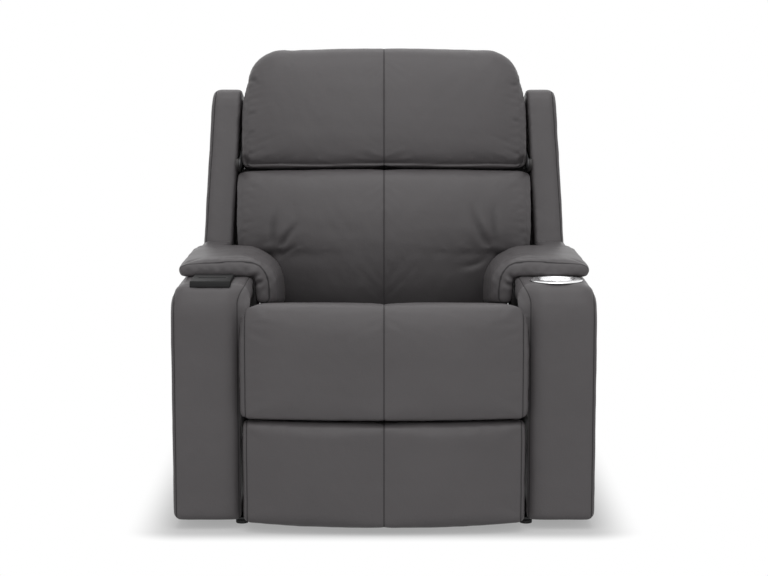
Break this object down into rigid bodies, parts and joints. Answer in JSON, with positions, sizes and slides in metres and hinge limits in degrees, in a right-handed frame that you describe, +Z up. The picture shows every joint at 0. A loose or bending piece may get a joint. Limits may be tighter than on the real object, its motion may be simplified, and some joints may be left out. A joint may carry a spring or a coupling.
{
  "type": "powered cinema recliner seat",
  "caption": "Upholstered powered cinema recliner with wide pillow-topped arms, cup holder, dock, waterfall seat, folding footrest, winged reclining back and tilting headrest",
  "frame": {"origin": "on the floor under the middle of the seat, at the centre of the bounding box's bottom", "axes": "+X to the sitter's left-hand armrest with the cup holder, as a viewer in front sees it on the right; the sitter faces -Y; +Z up"},
  "size_m": [0.932, 0.954, 1.0474],
  "materials": {
    "leather": "soft semi-matt dark grey leather with fine grain",
    "plywood": "plain sanded plywood",
    "black_steel": "satin black powder coat",
    "zinc_steel": "zinc-plated steel",
    "chrome": "polished chrome",
    "black_plastic": "matt black moulded plastic",
    "button_plastic": "glossy dark plastic",
    "rubber": "matt black rubber",
    "webbing": "woven elastic webbing"
  },
  "bodies": {
    "base": {"base_rail_left": "black_steel", "base_rail_right": "black_steel", "foot_front_left": "rubber", "foot_front_right": "rubber", "foot_rear_left": "rubber", "foot_rear_right": "rubber", "base_tube_front": "black_steel", "base_tube_rear": "black_steel", "power_inlet": "black_plastic"},
    "chassis": {"side_plate_left": "black_steel", "side_plate_right": "black_steel", "glide_shoe_left": "black_plastic", "glide_shoe_right": "black_plastic", "chassis_tube_front": "black_steel", "chassis_tube_rear": "black_steel", "seat_rail_front": "plywood", "seat_rail_side_left": "plywood", "seat_rail_side_right": "plywood", "seat_rail_rear": "plywood", "seat_webbing": "webbing", "seat_cushion": "leather", "arm_cover_left": "leather", "arm_cover_right": "leather", "arm_frame_left": "plywood", "arm_frame_right": "plywood", "arm_pad_left": "leather", "arm_pad_right": "leather", "cup_holder": "chrome", "arm_dock": "black_plastic", "control_panel": "black_plastic", "footrest_motor": "black_plastic", "recline_motor": "black_plastic", "control_box": "black_plastic"},
    "crank": {"crank_shaft": "zinc_steel"},
    "middle_links": {"middle_link_left": "zinc_steel", "middle_link_right": "zinc_steel"},
    "upper_links": {"upper_link_left": "zinc_steel", "upper_link_right": "zinc_steel"},
    "footrest": {"footrest_bracket_left": "zinc_steel", "footrest_bracket_right": "zinc_steel", "footrest_board": "plywood", "footrest_cushion": "leather"},
    "back": {"back_frame": "plywood", "outer_back_panel": "leather", "back_top_cover": "leather", "back_bracket_left": "black_steel", "back_bracket_right": "black_steel", "back_wing_left": "leather", "back_wing_right": "leather", "lumbar_cushion": "leather"},
    "headrest": {"headrest_board": "plywood", "headrest_cushion": "leather", "headrest_hinge_left": "black_steel", "headrest_hinge_right": "black_steel"},
    "footrest_carriage": {"footrest_nut": "zinc_steel"},
    "recline_carriage": {"recline_nut": "zinc_steel"},
    "button_1_key": {"button_1": "button_plastic"},
    "button_2_key": {"button_2": "button_plastic"},
    "button_3_key": {"button_3": "button_plastic"},
    "button_4_key": {"button_4": "button_plastic"}
  },
  "joints": [
    {"name": "chassis_slide", "type": "slide", "parent": "base", "child": "chassis", "axis": [0, -1, 0], "range_m": [0, 0.09]},
    {"name": "back_recline", "type": "hinge", "parent": "chassis", "child": "back", "pos_m": [0, 0.226, 0.275], "axis": [-1, 0, 0], "range_deg": [0, 38]},
    {"name": "headrest_tilt", "type": "hinge", "parent": "back", "child": "headrest", "pos_m": [0, 0.15094, 0.76839], "axis": [1, 0, 0], "range_deg": [0, 25]},
    {"name": "footrest_crank", "type": "hinge", "parent": "chassis", "child": "crank", "pos_m": [0, -0.26, 0.15], "axis": [-1, 0, 0], "range_deg": [0, 160]},
    {"name": "middle_link_fold", "type": "hinge", "parent": "crank", "child": "middle_links", "pos_m": [0, -0.16603, 0.1158], "axis": [-1, 0, 0], "range_deg": [-209, 0]},
    {"name": "upper_link_fold", "type": "hinge", "parent": "middle_links", "child": "upper_links", "pos_m": [0, -0.22712, 0.27444], "axis": [-1, 0, 0], "range_deg": [0, 133]},
    {"name": "footrest_fold", "type": "hinge", "parent": "upper_links", "child": "footrest", "pos_m": [0, -0.365, 0.175], "axis": [-1, 0, 0], "range_deg": [0, 7]},
    {"name": "footrest_drive", "type": "slide", "parent": "chassis", "child": "footrest_carriage", "axis": [0, -1, 0], "range_m": [0, 0.121]},
    {"name": "recline_drive", "type": "slide", "parent": "chassis", "child": "recline_carriage", "axis": [0, 1, 0], "range_m": [0, 0.121]},
    {"name": "button_1_press", "type": "slide", "parent": "chassis", "child": "button_1_key", "axis": [1, 0, 0], "range_m": [0, 0.0015], "stiffness_N_per_m": 400, "springref_m": -0.0004},
    {"name": "button_2_press", "type": "slide", "parent": "chassis", "child": "button_2_key", "axis": [1, 0, 0], "range_m": [0, 0.0015], "stiffness_N_per_m": 400, "springref_m": -0.0004},
    {"name": "button_3_press", "type": "slide", "parent": "chassis", "child": "button_3_key", "axis": [1, 0, 0], "range_m": [0, 0.0015], "stiffness_N_per_m": 400, "springref_m": -0.0004},
    {"name": "button_4_press", "type": "slide", "parent": "chassis", "child": "button_4_key", "axis": [1, 0, 0], "range_m": [0, 0.0015], "stiffness_N_per_m": 400, "springref_m": -0.0004}
  ],
  "couplings": [
    {"joint": "chassis_slide", "follows": "back_recline", "m_per_rad": 0.1357},
    {"joint": "recline_drive", "follows": "back_recline", "m_per_rad": 0.18093},
    {"joint": "middle_link_fold", "follows": "footrest_crank", "ratio": -1.2985},
    {"joint": "upper_link_fold", "follows": "footrest_crank", "ratio": 0.823},
    {"joint": "footrest_fold", "follows": "footrest_crank", "ratio": 0.037994},
    {"joint": "footrest_drive", "follows": "footrest_crank", "m_per_rad": 0.042972}
  ]
}
